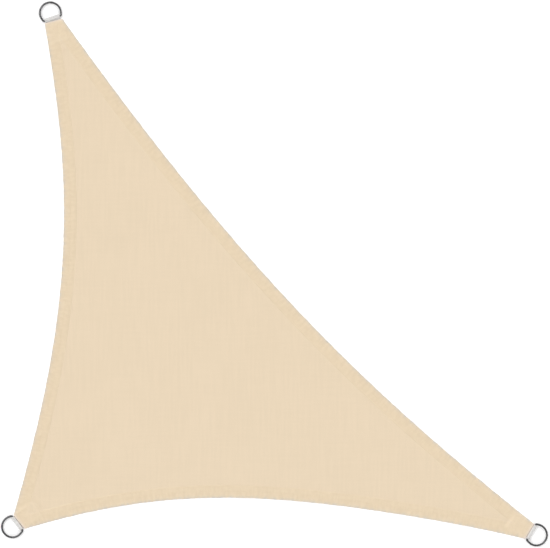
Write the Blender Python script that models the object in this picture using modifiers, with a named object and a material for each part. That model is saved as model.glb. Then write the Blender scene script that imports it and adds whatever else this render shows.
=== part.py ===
"""Triangular shade sail, laid out flat: cloth with folded hems, three webbing loops, three D-rings.

Metres, +Z up. The sail lies on z = 0 with its hems and thick corners on the upper side, and
the origin is on that plane, under the middle of the whole sail. Seen from above with +Y up,
the square corner is at the lower left, and the long side runs from upper left to lower right.
"""

from collections import namedtuple
from math import acos, asin, atan2, ceil, cos, hypot, pi, radians, sin

import bmesh
import bpy
from mathutils import Vector
from mathutils.geometry import delaunay_2d_cdt

OBJECT_NAME = "shade_sail"
GAP = 0.0003               # clearance between pieces that touch

# Cloth
FIELD_THICK = 0.0012       # one layer of knitted cloth
HEM_THICK = 0.0027         # three layers: the cloth and its folded hem
HEM_WIDTH = 0.048
HEM_SLOPE = 0.0009         # run of the slope from the hem down to the field

# The cloth over the webbing's tails stands up as a low pad
PAD_END_MARGIN = 0.003     # flat top beyond the tails
PAD_SIDE_SLOPE = 0.003     # run of the slope down to the hems, at its sides
PAD_END_SLOPE = 0.016      # and at its inner end

# The stitched hem draws in a little between its stitches: two waves along each edge
PUCKER_WAVES = ((0.071, 0.6, 0.3), (0.113, 0.4, 1.9))     # wavelength, share, phase
PUCKER_RISE = 0.0003       # up and down, on the hem
PUCKER_FADE = 0.12         # run over which the waves fade out towards a corner

# Webbing, wrapped round the ring's bar, with both tails sewn between the corner's layers
WEB_WIDTH = 0.060
WEB_THICK = 0.0015
WEB_TAIL = 0.074           # length of each tail inside the corner
WEB_NECK = 0.0005          # from the loop round the bar to where the tails meet
LOOP_SLACK = 0.0032        # the loose front of the loop stands this far out from the bar

# D-ring, bent from round wire
WIRE_R = 0.004
RING_R = 0.0405            # radius of the arc, to the middle of the wire
LEG_DEG = 105.0            # the arc reaches this far round each way, and runs on as a straight leg
BAR_OFFSET = 0.0228        # centre of the arc to the straight bar
RING_FILLET = 0.005        # bend radius where a leg meets the bar

# Fineness
EDGE_STEP = 0.015          # spacing of points along the cloth's edges
RING_ARC_STEPS = 22
RING_FILLET_STEPS = 4
WIRE_BEVEL_STEPS = 4       # a wire of twelve sides
WEB_WRAP_STEP = radians(22.5)
SEARCH_STEPS = 40          # halvings that find where two lines cross
SLOPE_STEP = 0.001         # part of a side over which its direction is taken
MERGE_DISTANCE = 1e-6

# One row per corner. x, y: centre of the ring's arc. ring_deg: direction from the cloth
# out through the ring. end_gap: arc centre to the cloth's squared-off end. end_skew: how
# far that end is turned from square to the ring. end_shift: from the ring's axis to the
# middle of that end, to the left looking out. patch: depth of the doubled corner.
Corner = namedtuple("Corner", "name x y ring_deg end_gap end_skew end_width end_shift patch")
CORNERS = (
    Corner("left", -1.0088, -0.9735, 217.0, 0.0312, 1.5, 0.0677, 0.0008, 0.105),
    Corner("right", 1.0086, -1.0051, 329.0, 0.0299, 0.0, 0.0680, -0.0020, 0.150),
    Corner("top", -0.8629, 1.0051, 109.0, 0.0330, -5.0, 0.0705, -0.0010, 0.122),
)

# One row per side, from CORNERS[i] to the next, going round against the clock. depth: how
# far the side bows in at its middle. skew: deeper towards its start. round: fuller middle.
# lean: that fuller middle moved towards the start. wave: height of the hem's scallops.
Side = namedtuple("Side", "name depth skew round lean wave")
SIDES = (
    Side("bottom", 0.1321, 0.291, 0.011, 0.176, 0.0007),
    Side("long", 0.1015, 0.087, 0.112, 0.045, 0.0013),
    Side("upright", 0.1220, 0.065, 0.145, 0.048, 0.0007),
)
EVEN_ARCH = 0.75           # height of the bow, as a share, that round and lean don't change

# Colours are linear RGB
Finish = namedtuple("Finish", "color roughness metallic")
CLOTH_FINISH = Finish((0.831, 0.686, 0.503), 0.85, 0.0)
WEB_FINISH = Finish((0.72, 0.73, 0.74), 0.75, 0.0)
STEEL_FINISH = Finish((0.42, 0.42, 0.43), 0.28, 1.0)

# Heights and lengths that follow from the sizes above
WRAP_R = WIRE_R + GAP + WEB_THICK / 2             # middle of the webbing, round the bar
LOOP_R = WRAP_R + WEB_THICK / 2                   # outside of the loop
BAR_Z = LOOP_R                                    # the loop just touches the ground
TAIL_LOW_Z = FIELD_THICK + GAP + WEB_THICK / 2
TAIL_HIGH_Z = TAIL_LOW_Z + WEB_THICK + GAP
POCKET_TOP_Z = TAIL_HIGH_Z + WEB_THICK / 2 + GAP
POCKET_WIDTH = WEB_WIDTH + 2 * GAP
POCKET_DEPTH = WEB_TAIL + 2 * GAP
PAD_THICK = POCKET_TOP_Z + FIELD_THICK            # the cloth over the tails
PAD_HALF = POCKET_WIDTH / 2 + FIELD_THICK         # half width of the pad's flat top
PAD_DEPTH = POCKET_DEPTH + PAD_END_MARGIN
PAD_FOOT_HALF = PAD_HALF + PAD_SIDE_SLOPE
PAD_FOOT_DEPTH = PAD_DEPTH + PAD_END_SLOPE
RING_TILT = asin((BAR_Z - WIRE_R) / (RING_R + BAR_OFFSET))   # the far arc rests on the ground
RING_Z = WIRE_R + RING_R * sin(RING_TILT)


# ---------------------------------------------------------------- scene and objects

def clear_scene():
    for obj in list(bpy.data.objects):
        bpy.data.objects.remove(obj, do_unlink=True)


def new_collection(name):
    collection = bpy.data.collections.new(name)
    bpy.context.scene.collection.children.link(collection)
    return collection


def make_material(name, finish):
    material = bpy.data.materials.new(name)
    material.use_nodes = True
    shader = material.node_tree.nodes["Principled BSDF"]
    shader.inputs["Base Color"].default_value = (*finish.color, 1.0)
    shader.inputs["Roughness"].default_value = finish.roughness
    shader.inputs["Metallic"].default_value = finish.metallic
    material.diffuse_color = (*finish.color, 1.0)
    return material


def add_object(name, data, collection, material=None, parent=None):
    obj = bpy.data.objects.new(name, data)
    collection.objects.link(obj)
    if material is not None:
        data.materials.append(material)
    obj.parent = parent
    return obj


def mesh_from_bmesh(name, bm):
    bmesh.ops.recalc_face_normals(bm, faces=bm.faces)
    mesh = bpy.data.meshes.new(name)
    bm.to_mesh(mesh)
    bm.free()
    return mesh


# ---------------------------------------------------------------- the cloth's outline

def direction(degrees_from_x):
    angle = radians(degrees_from_x)
    return Vector((cos(angle), sin(angle)))


def left_of(vector):
    return Vector((-vector.y, vector.x))


def corner_middle(corner):
    """Where the ring's axis crosses the cloth's squared-off end."""
    return Vector((corner.x, corner.y)) - corner.end_gap * direction(corner.ring_deg)


def corner_point(corner, along, across):
    """A point at a depth into the cloth, measured along the webbing, and to its left."""
    axis = direction(corner.ring_deg)
    return corner_middle(corner) - along * axis + across * left_of(axis)


def end_point(corner, across):
    """A point on the squared-off end, across from the ring's axis."""
    return corner_middle(corner) + across * left_of(direction(corner.ring_deg + corner.end_skew))


def corner_depth(corner, point):
    """How far a point lies behind the squared-off end."""
    return (corner_middle(corner) - point).dot(direction(corner.ring_deg + corner.end_skew))


def side_ends(index):
    start, stop = CORNERS[index], CORNERS[(index + 1) % len(CORNERS)]
    return (end_point(start, start.end_shift + start.end_width / 2),
            end_point(stop, stop.end_shift - stop.end_width / 2))


def side_length(index):
    """Straight distance between the ends of a side."""
    start, stop = side_ends(index)
    return (stop - start).length


def bowed_point(index, t):
    """A point on the smooth bow of a side, t from 0 to 1."""
    start, stop = side_ends(index)
    side = SIDES[index]
    arch = 4 * t * (1 - t)
    early = 1 - 2 * t
    uneven = side.skew * early + (side.round + side.lean * early) * (arch - EVEN_ARCH)
    bow = side.depth * arch * (1 + uneven)
    return start.lerp(stop, t) + bow * left_of((stop - start).normalized())


def inward(index, t):
    """Unit vector from the side into the cloth."""
    along = bowed_point(index, t + SLOPE_STEP) - bowed_point(index, t - SLOPE_STEP)
    return left_of(along.normalized())


def pucker(index, t):
    """Wave of the gathered hem, from -1 to 1, fading out at both corners."""
    length = side_length(index)
    run = t * length
    fade = min(1.0, run / PUCKER_FADE, (length - run) / PUCKER_FADE)
    return fade * sum(share * sin(2 * pi * run / wave + phase + index)
                      for wave, share, phase in PUCKER_WAVES)


def edge_point(index, t):
    """A point on the cloth's edge: the bow with the hem's small scallops."""
    return bowed_point(index, t) + SIDES[index].wave * pucker(index, t) * inward(index, t)


def spread(start, stop, length):
    """Even values from start to stop, a step apart over the given length."""
    steps = max(2, ceil(length / EDGE_STEP))
    return [start + (stop - start) * i / steps for i in range(steps + 1)]


def patch_crossing(index, corner, offset, patch, near, far):
    """The t at which the line offset from a side comes out of the doubled corner."""
    for _ in range(SEARCH_STEPS):
        middle = (near + far) / 2
        point = bowed_point(index, middle) + offset * inward(index, middle)
        if corner_depth(corner, point) < patch:
            near = middle
        else:
            far = middle
    return far


# ---------------------------------------------------------------- the cloth's upper surface

class Relief:
    """Points of the upper surface with their heights, and the creases that join them."""

    def __init__(self):
        self.points, self.heights, self.creases = [], [], []

    def add(self, point, height):
        self.points.append(point)
        self.heights.append(height)
        return len(self.points) - 1

    def crease(self, indices, closed=False):
        self.creases.extend(zip(indices, indices[1:]))
        if closed:
            self.creases.append((indices[-1], indices[0]))

    def fill(self):
        """Triangles between the creases: corner points in space, and faces."""
        spots, _, faces, sources, _, _ = delaunay_2d_cdt(
            self.points, self.creases, [], 1, MERGE_DISTANCE)
        heights = [self.heights[source[0]] for source in sources]
        return [(spot.x, spot.y, height) for spot, height in zip(spots, heights)], faces


def hem_height(index, t, sign):
    return HEM_THICK + sign * PUCKER_RISE * pucker(index, t)


def add_edge(relief):
    """The cloth's outer edge. Returns, for each corner, its four points on the end."""
    loop, mouths = [], []
    for index, corner in enumerate(CORNERS):
        mouth = [relief.add(end_point(corner, side * PAD_HALF), PAD_THICK) for side in (-1, 1)]
        run = [relief.add(edge_point(index, t), hem_height(index, t, 1))
               for t in spread(0.0, 1.0, side_length(index))]
        mouths.append(mouth)
        loop += mouth + run
    relief.crease(loop, closed=True)
    return [(loop[low - 1], low, high, high + 1) for low, high in mouths]


def add_field_line(relief, offset, height_at):
    """The line where the hems and the doubled corners end, at an offset from the edge."""
    loop = []
    extra = offset - HEM_WIDTH
    for index in range(len(SIDES)):
        start, stop = CORNERS[index], CORNERS[(index + 1) % len(CORNERS)]
        first = patch_crossing(index, start, offset, start.patch + extra, 0.0, 0.5)
        last = patch_crossing(index, stop, offset, stop.patch + extra, 1.0, 0.5)
        for t in spread(first, last, (last - first) * side_length(index)):
            point = bowed_point(index, t) + offset * inward(index, t)
            loop.append(relief.add(point, height_at(index, t)))
    relief.crease(loop, closed=True)


def add_pad(relief, corner, end):
    """The raised cloth over the webbing's tails: a flat top with a sloping foot."""
    top = [relief.add(corner_point(corner, PAD_DEPTH, side * PAD_HALF), PAD_THICK)
           for side in (-1, 1)]
    foot = [relief.add(corner_point(corner, PAD_FOOT_DEPTH, side * PAD_FOOT_HALF), HEM_THICK)
            for side in (-1, 1)]
    relief.crease([end[1], top[0], top[1], end[2]])
    relief.crease([end[0], foot[0], foot[1], end[3]])
    relief.crease([top[0], foot[0]])
    relief.crease([top[1], foot[1]])


def sail_relief():
    relief = Relief()
    ends = add_edge(relief)
    add_field_line(relief, HEM_WIDTH, lambda index, t: hem_height(index, t, -1))
    add_field_line(relief, HEM_WIDTH + HEM_SLOPE, lambda index, t: FIELD_THICK)
    for corner, end in zip(CORNERS, ends):
        add_pad(relief, corner, end)
    return relief


# ---------------------------------------------------------------- the pieces

def make_cloth(collection, cutters, material):
    """The whole sail of cloth as one solid: flat below, with a pocket in each corner."""
    points, faces = sail_relief().fill()
    bm = bmesh.new()
    upper = [bm.verts.new(point) for point in points]
    sheet = [bm.faces.new([upper[i] for i in face]) for face in faces]
    lower = bmesh.ops.extrude_face_region(bm, geom=sheet)["geom"]
    for vert in (item for item in lower if isinstance(item, bmesh.types.BMVert)):
        vert.co.z = 0.0
    underside = [item for item in lower if isinstance(item, bmesh.types.BMFace)]
    bmesh.ops.dissolve_faces(bm, faces=underside, use_verts=True)
    cloth = add_object("sail_cloth", mesh_from_bmesh("sail_cloth", bm), collection, material)
    for corner in CORNERS:
        pocket = cloth.modifiers.new("pocket_" + corner.name, "BOOLEAN")
        pocket.operation = "DIFFERENCE"
        pocket.object = make_pocket_cutter(corner, cutters)
    return cloth


def make_pocket_cutter(corner, cutters):
    """A box as wide as the webbing, from outside the corner to the ends of the tails."""
    outside = corner.end_width / 2
    length = POCKET_DEPTH + outside
    height = POCKET_TOP_Z - FIELD_THICK
    bm = bmesh.new()
    bmesh.ops.create_cube(bm, size=1.0)
    bmesh.ops.scale(bm, vec=(length, POCKET_WIDTH, height), verts=bm.verts)
    cutter = add_object("cut_pocket_" + corner.name, mesh_from_bmesh("pocket", bm), cutters)
    middle = corner_point(corner, (POCKET_DEPTH - outside) / 2, 0.0)
    cutter.location = (middle.x, middle.y, FIELD_THICK + height / 2)
    cutter.rotation_euler.z = radians(corner.ring_deg)
    cutter.hide_render = True
    cutter.display_type = "WIRE"
    return cutter


def make_corner_frame(corner, collection):
    """An empty under the centre of the ring's arc, with +X pointing out from the sail."""
    frame = add_object("corner_" + corner.name, None, collection)
    frame.location = (corner.x, corner.y, 0.0)
    frame.rotation_euler.z = radians(corner.ring_deg)
    return frame


def tangent_angle(x, z, side):
    """Where, round the bar, a straight run from (x, z) meets the middle of the webbing."""
    dx, dz = x + BAR_OFFSET, z - BAR_Z
    return atan2(dz, dx) - side * acos(WRAP_R / hypot(dx, dz))


def wrap_points(start, stop, slack):
    """Part of the webbing's way round the bar, from angle to angle, some slack out from it."""
    steps = max(1, round((start - stop) / WEB_WRAP_STEP))
    angles = [start + (stop - start) * i / steps for i in range(steps + 1)]
    return [(-BAR_OFFSET + slack + WRAP_R * cos(angle), BAR_Z + WRAP_R * sin(angle))
            for angle in angles]


def webbing_profile(corner):
    """Side view of the webbing, from the end of the upper tail round the bar to the lower.

    It fits close behind the bar, and its front half is loose."""
    tail_end = -corner.end_gap - WEB_TAIL
    neck = -BAR_OFFSET - LOOP_R - WEB_NECK
    first = tangent_angle(neck, TAIL_HIGH_Z, 1)
    last = tangent_angle(neck, TAIL_LOW_Z, -1) - 2 * pi
    above, below = -1.5 * pi, -2.5 * pi          # angles right over and right under the bar
    upper = [(tail_end, TAIL_HIGH_Z), (neck, TAIL_HIGH_Z)] + wrap_points(first, above, 0.0)
    lower = wrap_points(below, last, 0.0) + [(neck, TAIL_LOW_Z), (tail_end, TAIL_LOW_Z)]
    return upper + wrap_points(above, below, LOOP_SLACK) + lower


def make_webbing(corner, frame, collection, material):
    """A flat strip bent round the bar, as an open surface given its thickness."""
    bm = bmesh.new()
    line = [bm.verts.new((x, -WEB_WIDTH / 2, z)) for x, z in webbing_profile(corner)]
    edges = [bm.edges.new(pair) for pair in zip(line, line[1:])]
    swept = bmesh.ops.extrude_edge_only(bm, edges=edges)["geom"]
    moved = [item for item in swept if isinstance(item, bmesh.types.BMVert)]
    bmesh.ops.translate(bm, vec=(0.0, WEB_WIDTH, 0.0), verts=moved)
    name = "webbing_loop_" + corner.name
    webbing = add_object(name, mesh_from_bmesh(name, bm), collection, material, frame)
    thicken = webbing.modifiers.new("thickness", "SOLIDIFY")
    thicken.thickness = WEB_THICK
    thicken.offset = 0.0
    thicken.use_even_offset = True
    return webbing


def ring_path():
    """The wire's centre line: a long arc, two short legs, and a bar with a bend at each end."""
    turn = radians(LEG_DEG)
    bend_x = -BAR_OFFSET + RING_FILLET
    bend_y = (RING_R - RING_FILLET - bend_x * cos(turn)) / sin(turn)
    arc = [turn * (2 * i / RING_ARC_STEPS - 1) for i in range(RING_ARC_STEPS + 1)]
    bend = [turn + (pi - turn) * i / RING_FILLET_STEPS for i in range(RING_FILLET_STEPS + 1)]
    path = [(RING_R * cos(angle), RING_R * sin(angle)) for angle in arc]
    corner = [(bend_x + RING_FILLET * cos(angle), bend_y + RING_FILLET * sin(angle))
              for angle in bend]
    return path + corner + [(x, -y) for x, y in reversed(corner)]


def make_ring(corner, frame, collection, material):
    """A D-ring of round wire, its bar in the webbing's loop and its far arc on the ground."""
    name = "d_ring_" + corner.name
    curve = bpy.data.curves.new(name, "CURVE")
    curve.dimensions = "3D"
    curve.bevel_depth = WIRE_R
    curve.bevel_resolution = WIRE_BEVEL_STEPS
    path = ring_path()
    spline = curve.splines.new("POLY")
    spline.points.add(len(path) - 1)
    for point, (x, y) in zip(spline.points, path):
        point.co = (x, y, 0.0, 1.0)
    spline.use_cyclic_u = True
    spline.use_smooth = True
    ring = add_object(name, curve, collection, material, frame)
    ring.location.z = RING_Z
    ring.rotation_euler.y = RING_TILT
    return ring


def main():
    clear_scene()
    parts = new_collection(OBJECT_NAME)
    cutters = new_collection("cutters")
    cloth_material = make_material("sail_fabric", CLOTH_FINISH)
    web_material = make_material("webbing", WEB_FINISH)
    steel_material = make_material("ring_steel", STEEL_FINISH)
    make_cloth(parts, cutters, cloth_material)
    for corner in CORNERS:
        frame = make_corner_frame(corner, parts)
        make_webbing(corner, frame, parts, web_material)
        make_ring(corner, frame, parts, steel_material)


main()
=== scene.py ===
"""Looks of a triangular shade sail: knitted cloth, sewn hems and corners, webbing loops, D-rings.

Metres, +Z up, in the part's own frame. The sail lies on a pale floor, z = 0, and the camera
looks straight down on it, with +Y up in the picture. The square corner is at the lower left.
"""

from collections import namedtuple
from math import acos, asin, atan2, ceil, cos, hypot, pi, radians, sin, tau

import bmesh
import bpy
import numpy as np
from mathutils import Matrix, Vector
from mathutils.geometry import delaunay_2d_cdt
from mathutils.kdtree import KDTree


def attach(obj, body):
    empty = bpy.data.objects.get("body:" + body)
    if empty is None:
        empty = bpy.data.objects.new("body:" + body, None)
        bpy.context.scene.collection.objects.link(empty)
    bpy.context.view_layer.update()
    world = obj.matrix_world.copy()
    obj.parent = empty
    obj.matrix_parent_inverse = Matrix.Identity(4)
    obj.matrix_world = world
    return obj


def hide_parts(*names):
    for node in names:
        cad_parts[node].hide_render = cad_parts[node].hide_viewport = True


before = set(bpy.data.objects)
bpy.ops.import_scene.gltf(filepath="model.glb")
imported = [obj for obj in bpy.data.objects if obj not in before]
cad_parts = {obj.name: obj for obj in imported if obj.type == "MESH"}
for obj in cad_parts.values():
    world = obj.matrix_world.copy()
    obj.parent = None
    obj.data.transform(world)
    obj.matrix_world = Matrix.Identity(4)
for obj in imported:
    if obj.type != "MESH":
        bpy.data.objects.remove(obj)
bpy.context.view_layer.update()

# ---- sizes shared with the solids

GAP = 0.0003               # clearance between pieces that touch
HEM_WIDTH = 0.048
WEB_WIDTH = 0.060
WEB_THICK = 0.0015
WEB_TAIL = 0.074           # length of each tail inside the corner
WEB_NECK = 0.0005          # from the loop round the bar to where the tails meet
LOOP_SLACK = 0.0032        # the loose front of the loop stands this far out from the bar
WIRE_R = 0.004
RING_R = 0.0405            # radius of the arc, to the middle of the wire
LEG_DEG = 105.0            # the arc reaches this far round each way, then runs on straight
BAR_OFFSET = 0.0228        # centre of the ring's arc to its straight bar
RING_FILLET = 0.005        # bend radius where a leg meets the bar
LOWER_LAYER = 0.0012       # cloth below the webbing's tails, its clearance to the floor included
PAD_TOP = 0.0063           # top of the cloth over the tails

# One row per corner. x, y: centre of the ring's arc. ring_deg: direction from the cloth out
# through the ring. end_gap: arc centre to the cloth's squared-off end. end_skew: how far that
# end is turned from square to the ring. end_shift: from the ring's axis to the middle of that
# end, to the left looking out. patch: depth of the doubled corner.
Corner = namedtuple("Corner", "name x y ring_deg end_gap end_skew end_width end_shift patch")
CORNERS = (
    Corner("left", -1.0088, -0.9735, 217.0, 0.0312, 1.5, 0.0677, 0.0008, 0.105),
    Corner("right", 1.0086, -1.0051, 329.0, 0.0299, 0.0, 0.0680, -0.0020, 0.150),
    Corner("top", -0.8629, 1.0051, 109.0, 0.0330, -5.0, 0.0705, -0.0010, 0.122),
)

# One row per side, from CORNERS[i] to the next, going round against the clock. depth: how far
# the side bows in at its middle. skew: deeper towards its start. round: fuller middle.
# lean: that fuller middle moved towards the start. wave: height of the scallops that its
# stitching draws into the edge, which here are finer and a little lower than in the solids.
Side = namedtuple("Side", "name depth skew round lean wave")
SIDES = (
    Side("bottom", 0.1321, 0.291, 0.011, 0.176, 0.0005),
    Side("long", 0.1015, 0.087, 0.112, 0.045, 0.0007),
    Side("upright", 0.1220, 0.065, 0.145, 0.048, 0.0005),
)
EVEN_ARCH = 0.75           # height of the bow, as a share, that round and lean don't change
# Scallops, as wavelength, share and phase
PUCKER_WAVES = ((0.071, 0.4, 0.3), (0.113, 0.4, 1.9), (0.0433, 0.35, 4.1), (0.0239, 0.4, 2.7))
PUCKER_FADE = 0.12         # run over which the scallops fade out towards a corner

WRAP_R = WIRE_R + GAP + WEB_THICK / 2             # middle of the webbing, round the bar
LOOP_R = WRAP_R + WEB_THICK / 2
BAR_Z = LOOP_R
TAIL_LOW_Z = LOWER_LAYER + GAP + WEB_THICK / 2
TAIL_HIGH_Z = TAIL_LOW_Z + WEB_THICK + GAP
POCKET_TOP = TAIL_HIGH_Z + WEB_THICK / 2 + GAP
RING_TILT = asin((BAR_Z - WIRE_R) / (RING_R + BAR_OFFSET))
RING_Z = WIRE_R + RING_R * sin(RING_TILT)

# ---- the cloth's relief

REST_GAP = 0.0003          # the cloth lies on its stitches, this far off the floor
CLOTH = 0.0009             # one layer of knitted cloth
HEM_RISE = 0.0015          # the two turned layers of a hem, pressed flat by their stitching
CROSSING_SHARE = 0.4       # where two hems cross, how much of its rise the lower one keeps
HEM_STEP = 0.0020          # run of the rounded inner edge of a hem
PATCH_RISE = 0.0006        # the doubled corner's extra layer
NOSE = 0.0013              # how far in the rounded, folded edge reaches
STITCH_ROWS = (0.025, 0.044)      # rows of stitching, in from the folded edge
GROOVE_DEPTH = 0.00045     # how far a row of stitching draws the cloth down
GROOVE_WIDTH = 0.0016
PATCH_GROOVE = 0.6         # the doubled corner's row draws it down this much of that

# Small puckers between the rows of stitching, along the hem: wavelength, height, slant, phase
HEM_PUCKERS = (
    (0.0163, 0.00022, 0.45, 0.0), (0.0237, 0.00030, -0.70, 1.3),
    (0.0371, 0.00032, 0.55, 2.9), (0.0590, 0.00026, -0.30, 4.4),
)
# The puckers come and go along a hem: two lengths over which they do, and the least that stays
PUCKER_CALM = (0.137, 0.223)
PUCKER_LEAST = 0.35
# Slack that lifts the hem and the cloth beside it off the floor, dying out over SLACK_REACH
SLACK = ((0.118, 0.00034, 0.60, 0.8), (0.171, 0.00030, -0.45, 2.2), (0.263, 0.00024, 0.30, 5.1))
SLACK_REACH = 0.19
CORNER_FLAT = 0.10         # the sewn corners lie flat this far in; the lift is back at twice that
SIDE_SHIFT = 1.7           # shift of the slack's waves from one side to the next
PUCKER_SHIFT = 2.3         # and of the puckers'
# Faint unevenness of the whole sheet: wavelength, height, direction in degrees, phase
SHEET_WAVES = (
    (0.310, 0.00011, 24.0, 0.4), (0.430, 0.00013, 107.0, 2.6), (0.240, 0.00007, 151.0, 4.0),
)

# The pad over the webbing's tails, in distances along and across the webbing
PAD_FLAT_HALF = 0.0287
PAD_FOOT_HALF = 0.0420     # a wider and so softer foot than the solids'
PAD_FLAT_DEPTH = 0.0785
PAD_FOOT_DEPTH = 0.0930
POCKET_DEPTH = WEB_TAIL + GAP
POCKET_FLAT_HALF = WEB_WIDTH / 2 + GAP            # full height of the pocket out to here
POCKET_HALF = 0.0315                              # where its two skins meet
LIP_TOP = (PAD_TOP + POCKET_TOP) / 2              # middle of the upper lip of its mouth
LIP_LOW = (LOWER_LAYER + REST_GAP) / 2            # and of the lower lip
PAD_CHANNEL_RISE = 0.00035                        # a hem's inner edge, felt through the pad

# ---- stitching

STITCH_PITCH = 0.0050
STITCH_LENGTH = 0.0041
STITCH_VARIETY = 0.05      # how much the stitches differ in length, as a share
STITCH_SWAY = 0.00012      # and how far they stand off their line
THREAD_R = 0.00038
THREAD_LIFT = 0.35         # middle of the thread above the cloth, in its radii
THREAD_SIDES = 5
UNDER_THREAD = 0.00012     # half height of the flattened thread under the cloth
UNDER_LIFT = 0.9           # and its middle under the cloth, in those halves
THREAD_SEED = 11
BOX_MARGIN = 0.0060        # the sewn box over the webbing's tails, in from the pad's rim
BOX_DEPTHS = (0.0065, 0.0690)     # its outer and inner rows, from the cloth's end
TACK_PITCH = 0.0032        # closer stitches over the webbing
PATCH_SEAM = 0.0050        # the doubled corner's row of stitching, in from its edge

# ---- fineness

RUN_STEP = 0.0036          # spacing of the cloth's points along a side
FIELD_STEP = 0.0150
PAD_STEP = 0.0026
MERGE_DISTANCE = 1e-7
NEAREST_ROUNDS = 8         # enough to find the nearest point of a side
SEAM_SPACING = 3           # metres between the sides' places in the seam map
RIM_MARGIN = 1e-4          # inner points keep this far in from the outline
# And each set of them keeps this far from the sets before it
ROW_APART, HEM_LINE_APART, PAD_APART = 0.0004, 0.0009, 0.0012
LOOSE_APART, FIELD_APART = 0.004, 0.007
NOSE_ROWS = (0.00016, 0.0006, 0.0014)             # rows of points, in from the outline
UPPER_ROWS = (
    *NOSE_ROWS, 0.0045, 0.0090, 0.0140, 0.0190, 0.0228, 0.0250, 0.0272, 0.0315,
    0.0365, 0.0405, 0.0424, 0.0440, 0.0455, 0.0463, 0.0470, 0.0475, 0.0480, 0.0486, 0.0520,
)
LOWER_ROWS = (*NOSE_ROWS, 0.0120, 0.0228, 0.0250, 0.0272, 0.0424, 0.0440, 0.0456)
LOOSE_ROWS = (0.060, 0.070, 0.082, 0.096)         # beside the hem, with wider spacing
LOOSE_STEP = 0.010
WRAP_STEP, TAIL_STEP = radians(12), 0.006         # along the webbing: round the bar, straight
RING_STEP, RING_BEND_STEP, BAR_STEP = radians(3), radians(12), 0.006
WIRE_SIDES = 24

# ---- finish

FOLD_WEAR_AND_SHADE = 0.0045         # how far in from the folded sides the cloth is greyed: worn, and painted shade of the rounded fold
WEAR_AND_SHADE_STREAKS = (60.0, 20.0)       # how often that changes, per metre along and across
WEAR_AND_SHADE_RANGE = (0.25, 1.15)
LIP_HIGHLIGHT_REACH = 0.0040          # and how far in from the ends at the corners a painted highlight lies on the folded lip
WALE = 0.0034              # spacing of the knit's chains
COURSE = 0.0026            # height of one loop of a chain
COURSE_DRIFT, DRIFT_SCALE = 0.35, 55.0    # how far loops stray, in loops, and how often
CHAIN_SIDE = (0.16, 0.04)  # foot and top of a chain's side, in spacings from its middle
LOOP_SIDE = (-1.4, 1.0)    # foot and top of a loop, on a sine
TAPE_SIDE = (0.03, 0.30)   # foot and top of the side of a tape between the chains, in loops
TAPE_HEIGHT = 0.55         # next to a chain's
ZIGZAG = 0.6               # how far a tape climbs from chain to chain, in loops
GAP_RELIEF, GAP_SHADE = 0.35, 0.42        # painted shade: the knit darkens in its gaps below this height, by this share
STREAK = 0.0085            # spacing of the faint streaks, where some tapes are duller
STREAK_LENGTH = 0.16
CROSS_SHARE = 0.6          # streaks across the chains, next to those along them
CLOUD_SHARE, CLOUD_SCALE = 0.5, 4.5       # broad paler and darker parts, and how often
TONE_RANGE = (0.77, 1.33)  # the sum of these, from the darkest cloth to the lightest
KNIT_RELIEF = 0.0004
KNIT_ROUGHNESS = (0.82, 0.60)     # in the gaps, and on top
GATHER_PITCH = 0.0105      # spacing of the painted shade and painted light of the hems' small gathers, along the side
GATHER_LENGTH = 0.030      # and how far across the hem each one reaches
# how far the gathers' painted shade and painted light reach towards HEM_DARK and HEM_LIGHT
GATHER_SHADE_CONTRAST = 0.25
GATHER_FADE = (0.010, 0.044, 1.0, 0.60)   # insets between which they fade, from full to 0.60
HEM_TONE, PAD_PALER = 0.5, 0.2    # where hems are between their two colours, and pads more
HEM_SHADE = 0.85
# The hem's inner, turned edge is painted a little paler, painted light that lifts the shade of
# its step: insets
#  where that starts, is full, starts to fade and ends, and how pale it gets
TURNED_EDGE = (0.0425, 0.0460, 0.0495, 0.0545)
TURNED_EDGE_LIGHT = 0.08
KNIT_DARK = (0.743, 0.613, 0.4465, 1.0)
KNIT_LIGHT = (0.766, 0.631, 0.4625, 1.0)
# painted shade in the gaps between chains and tapes
KNIT_GAP_SHADOW = (0.602, 0.481, 0.336, 1.0)
# the hem's colour under the painted shade, and under the painted light, of its gathers
HEM_DARK = (0.689, 0.557, 0.386, 1.0)
HEM_LIGHT = (0.773, 0.638, 0.461, 1.0)
# painted light along the hem's turned inner edge
KNIT_EDGE_LIGHT = (0.930, 0.800, 0.620, 1.0)
# grey of wear and of painted shade at the folded sides
KNIT_WORN_AND_SHADED = (0.545, 0.515, 0.485, 1.0)
# painted highlight on the folded lip at each corner's end
KNIT_LIP_HIGHLIGHT = (0.900, 0.790, 0.720, 1.0)
THREAD_DARK = (0.670, 0.530, 0.355, 1.0)
THREAD_LIGHT = (0.780, 0.640, 0.460, 1.0)
WEB_DARK = (0.625, 0.610, 0.595, 1.0)
WEB_LIGHT = (0.800, 0.785, 0.765, 1.0)
# painted shade in the low parts of the weave
WEB_GAP_SHADOW = (0.420, 0.415, 0.405, 1.0)
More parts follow.
